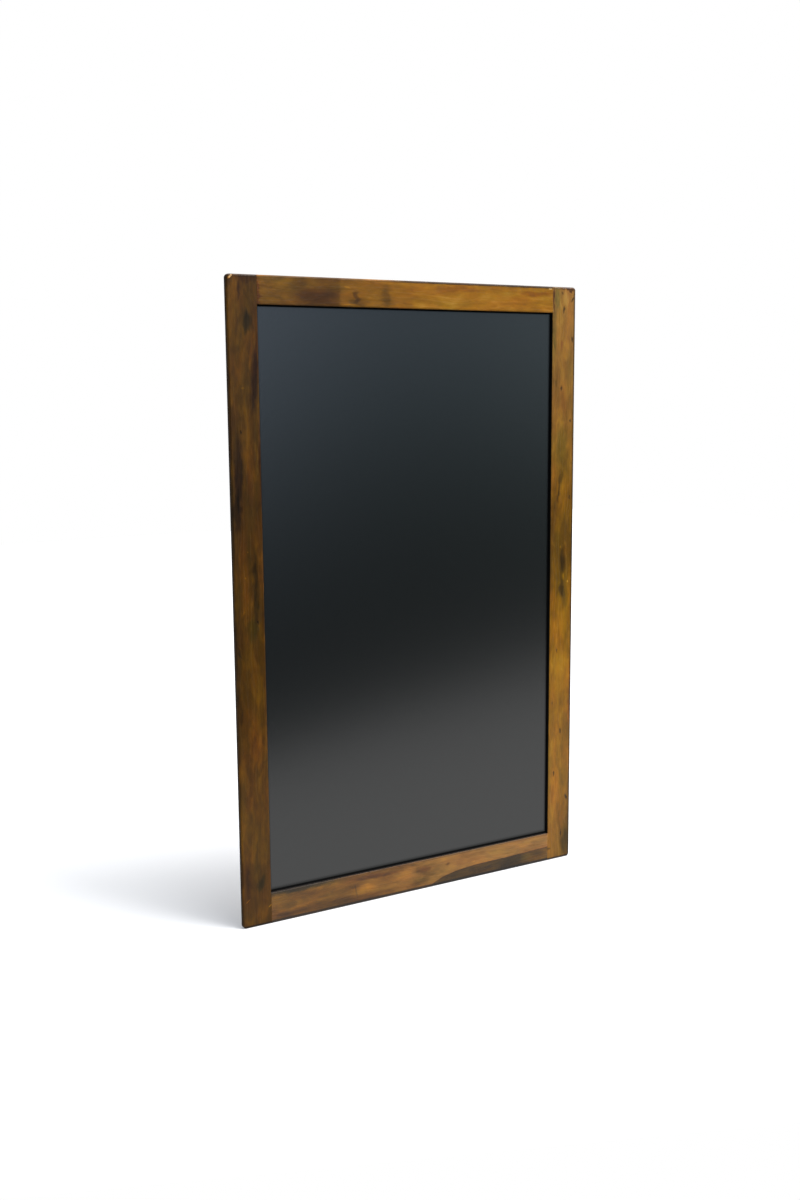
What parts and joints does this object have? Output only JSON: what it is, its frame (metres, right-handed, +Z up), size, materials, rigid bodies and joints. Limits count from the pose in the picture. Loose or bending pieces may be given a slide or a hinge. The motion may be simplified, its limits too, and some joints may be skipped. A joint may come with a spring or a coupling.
{
  "type": "framed chalkboard",
  "caption": "Tall flat chalkboard for a wall: a black writing panel set into a thin stained-wood frame, hung by swinging rings on straps at the back.",
  "frame": {"origin": "on the wall's face, midway between the two hooks that the hanging rings rest on once swung up, 42.5 mm below the board's upper edge", "axes": "+X to the right as seen from the front, +Y into the wall, +Z up; the writing face looks along -Y"},
  "size_m": [0.57, 0.0145, 0.895],
  "materials": {
    "stained_wood": "satin walnut-brown stain, blotchy and worn along its edges",
    "dowel_wood": "plain beech",
    "chalk_laminate": "satin black with a fine orange-peel texture",
    "fibreboard": "sawn fibreboard",
    "backing_paper": "matt brown paper",
    "zinc_steel": "bright zinc",
    "screw_steel": "bright zinc",
    "ring_steel": "bright zinc wire",
    "rubber": "matt black"
  },
  "bodies": {
    "board": {"left_stile": "stained_wood", "right_stile": "stained_wood", "top_rail": "stained_wood", "bottom_rail": "stained_wood", "dowel_upper_left_1": "dowel_wood", "dowel_upper_left_2": "dowel_wood", "dowel_upper_right_1": "dowel_wood", "dowel_upper_right_2": "dowel_wood", "dowel_lower_left_1": "dowel_wood", "dowel_lower_left_2": "dowel_wood", "dowel_lower_right_1": "dowel_wood", "dowel_lower_right_2": "dowel_wood", "chalk_surface": "chalk_laminate", "panel_core": "fibreboard", "panel_backing": "backing_paper", "clip_left_1": "zinc_steel", "clip_left_2": "zinc_steel", "clip_left_3": "zinc_steel", "clip_right_1": "zinc_steel", "clip_right_2": "zinc_steel", "clip_right_3": "zinc_steel", "clip_upper_1": "zinc_steel", "clip_upper_2": "zinc_steel", "clip_lower_1": "zinc_steel", "clip_lower_2": "zinc_steel", "clip_screw_left_1": "screw_steel", "clip_screw_left_2": "screw_steel", "clip_screw_left_3": "screw_steel", "clip_screw_right_1": "screw_steel", "clip_screw_right_2": "screw_steel", "clip_screw_right_3": "screw_steel", "clip_screw_upper_1": "screw_steel", "clip_screw_upper_2": "screw_steel", "clip_screw_lower_1": "screw_steel", "clip_screw_lower_2": "screw_steel", "hanger_strap_left": "zinc_steel", "hanger_screw_left": "screw_steel", "hanger_strap_right": "zinc_steel", "hanger_screw_right": "screw_steel", "bumper_upper_left": "rubber", "bumper_upper_right": "rubber", "bumper_lower_left": "rubber", "bumper_lower_right": "rubber"},
    "ring_left": {"hanging_ring_left": "ring_steel"},
    "ring_right": {"hanging_ring_right": "ring_steel"}
  },
  "joints": [
    {"name": "ring_left_swing", "type": "hinge", "parent": "board", "child": "ring_left", "pos_m": [-0.27, -0.00245, -0.0125], "axis": [1, 0, 0], "range_deg": [0, 180]},
    {"name": "ring_right_swing", "type": "hinge", "parent": "board", "child": "ring_right", "pos_m": [0.27, -0.00245, -0.0125], "axis": [1, 0, 0], "range_deg": [0, 180]}
  ]
}
